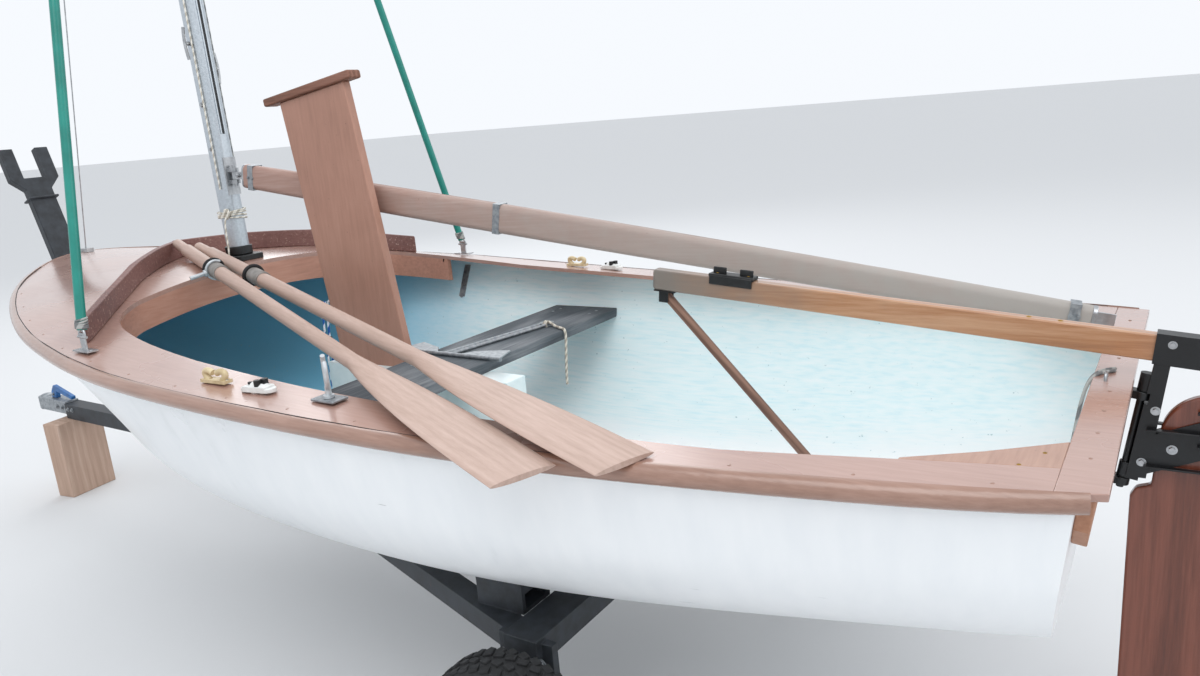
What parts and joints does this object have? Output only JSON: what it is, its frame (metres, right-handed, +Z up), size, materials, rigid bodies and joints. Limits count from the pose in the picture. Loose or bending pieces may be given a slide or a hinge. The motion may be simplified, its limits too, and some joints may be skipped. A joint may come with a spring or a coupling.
{
  "type": "sailing dinghy on trailer",
  "caption": "Small open sailing dinghy with mast, boom, rudder, raised daggerboard and stowed oars, parked on a light road trailer.",
  "frame": {"origin": "on the ground midway between the wheels, below the wheel axis", "axes": "+X to the bow and the towing hitch, +Y to port, +Z up"},
  "size_m": [4.0956, 1.5275, 5.4887],
  "materials": {
    "galvanized": "dull zinc coating",
    "painted_wood": "worn grey-brown paint",
    "spar_metal": "plain metal fittings",
    "black_rubber": "rubber",
    "mauve_paint": "dark mauve-brown paint",
    "blue_plastic": "blue plastic",
    "brown_paint": "brown paint on timber",
    "brown_wood": "worn timber",
    "white_paint": "white paint",
    "cream_plastic": "nylon",
    "deck_paint": "pink-brown deck paint",
    "wire": "stranded wire",
    "teal_hose": "hose",
    "white_laminate": "glass fibre laminate",
    "white_plastic": "nylon",
    "spar_aluminium": "anodised",
    "black_plastic": "moulded plastic",
    "weathered_wood": "weathered timber",
    "rim_paint": "painted steel",
    "trailer_steel": "dark paint with rust",
    "varnished_wood": "varnish",
    "black_steel": "black paint",
    "tyre": "treaded rubber",
    "raw_wood": "raw softwood"
  },
  "bodies": {
    "boat_and_trailer": {"anchor": "galvanized", "bow_roller": "black_rubber", "breakwater": "mauve_paint", "chainplate_port": "spar_metal", "chainplate_starboard": "spar_metal", "coupler": "galvanized", "coupler_handle": "blue_plastic", "daggerboard_case": "white_paint", "deck_facing": "brown_paint", "fairlead_port": "cream_plastic", "fairlead_starboard": "cream_plastic", "foredeck": "deck_paint", "forestay": "wire", "gooseneck_bracket": "spar_metal", "gudgeon_lower": "spar_metal", "gudgeon_upper": "spar_metal", "hose_port": "teal_hose", "hose_starboard": "teal_hose", "hull_shell": "white_laminate", "jam_cleat_port": "white_plastic", "jam_cleat_starboard": "white_plastic", "mast": "spar_aluminium", "mast_foot": "black_plastic", "oar_far": "weathered_wood", "oar_near": "weathered_wood", "quarter_knee_port": "deck_paint", "quarter_knee_starboard": "deck_paint", "roller_bracket": "trailer_steel", "rowlock_plate": "galvanized", "rub_rail_port": "brown_paint", "rub_rail_starboard": "brown_paint", "shroud_port": "wire", "shroud_starboard": "wire", "side_deck_port": "deck_paint", "side_deck_starboard": "deck_paint", "thwart": "weathered_wood", "trailer_frame": "trailer_steel", "trailer_post": "trailer_steel", "transom_board": "brown_paint", "transom_cap": "deck_paint", "wood_block": "raw_wood"},
    "wheel_port": {"tyre_port": "tyre", "rim_port": "rim_paint"},
    "wheel_starboard": {"tyre_starboard": "tyre", "rim_starboard": "rim_paint"},
    "rudder": {"rudder_head": "black_steel", "tiller": "varnished_wood", "extension_bracket": "spar_metal"},
    "rudder_blade": {"rudder_blade": "varnished_wood"},
    "tiller_extension": {"tiller_extension": "varnished_wood"},
    "boom_swivel": {"gooseneck_swivel": "spar_metal"},
    "boom": {"boom": "painted_wood", "boom_fork": "spar_metal", "boom_end_fitting": "spar_metal"},
    "daggerboard": {"daggerboard": "brown_paint", "daggerboard_cap": "brown_wood"},
    "rowlock": {"rowlock": "galvanized"}
  },
  "joints": [
    {"name": "wheel_port_spin", "type": "hinge", "parent": "boat_and_trailer", "child": "wheel_port", "pos_m": [0, 0.64, 0.2], "axis": [0, 1, 0], "continuous": true},
    {"name": "wheel_starboard_spin", "type": "hinge", "parent": "boat_and_trailer", "child": "wheel_starboard", "pos_m": [0, -0.64, 0.2], "axis": [0, 1, 0], "continuous": true},
    {"name": "rudder_turn", "type": "hinge", "parent": "boat_and_trailer", "child": "rudder", "pos_m": [-0.897, 0, 0.72], "axis": [-0.1392, 0, 0.9903], "range_deg": [-8, 35]},
    {"name": "blade_lift", "type": "hinge", "parent": "rudder", "child": "rudder_blade", "pos_m": [-1.013, 0, 0.72], "axis": [0, 1, 0], "range_deg": [0, 90]},
    {"name": "extension_swing", "type": "hinge", "parent": "rudder", "child": "tiller_extension", "pos_m": [-0.00559, 0, 0.92098], "axis": [0, 1, 0], "range_deg": [-2, 28]},
    {"name": "boom_swing", "type": "hinge", "parent": "boat_and_trailer", "child": "boom_swivel", "pos_m": [1.44295, 0, 1.22531], "axis": [0, 0, 1], "range_deg": [0, 50]},
    {"name": "boom_lift", "type": "hinge", "parent": "boom_swivel", "child": "boom", "pos_m": [1.41516, -0.00336, 1.22531], "axis": [-0.1201, 0.9928, 0], "range_deg": [0, 30]},
    {"name": "board_slide", "type": "slide", "parent": "boat_and_trailer", "child": "daggerboard", "axis": [0.134, 0, 0.991], "range_m": [-0.02, 0.25]},
    {"name": "rowlock_turn", "type": "hinge", "parent": "boat_and_trailer", "child": "rowlock", "pos_m": [0.378, 0.628, 0.83867], "axis": [0, 0, 1], "continuous": true}
  ]
}
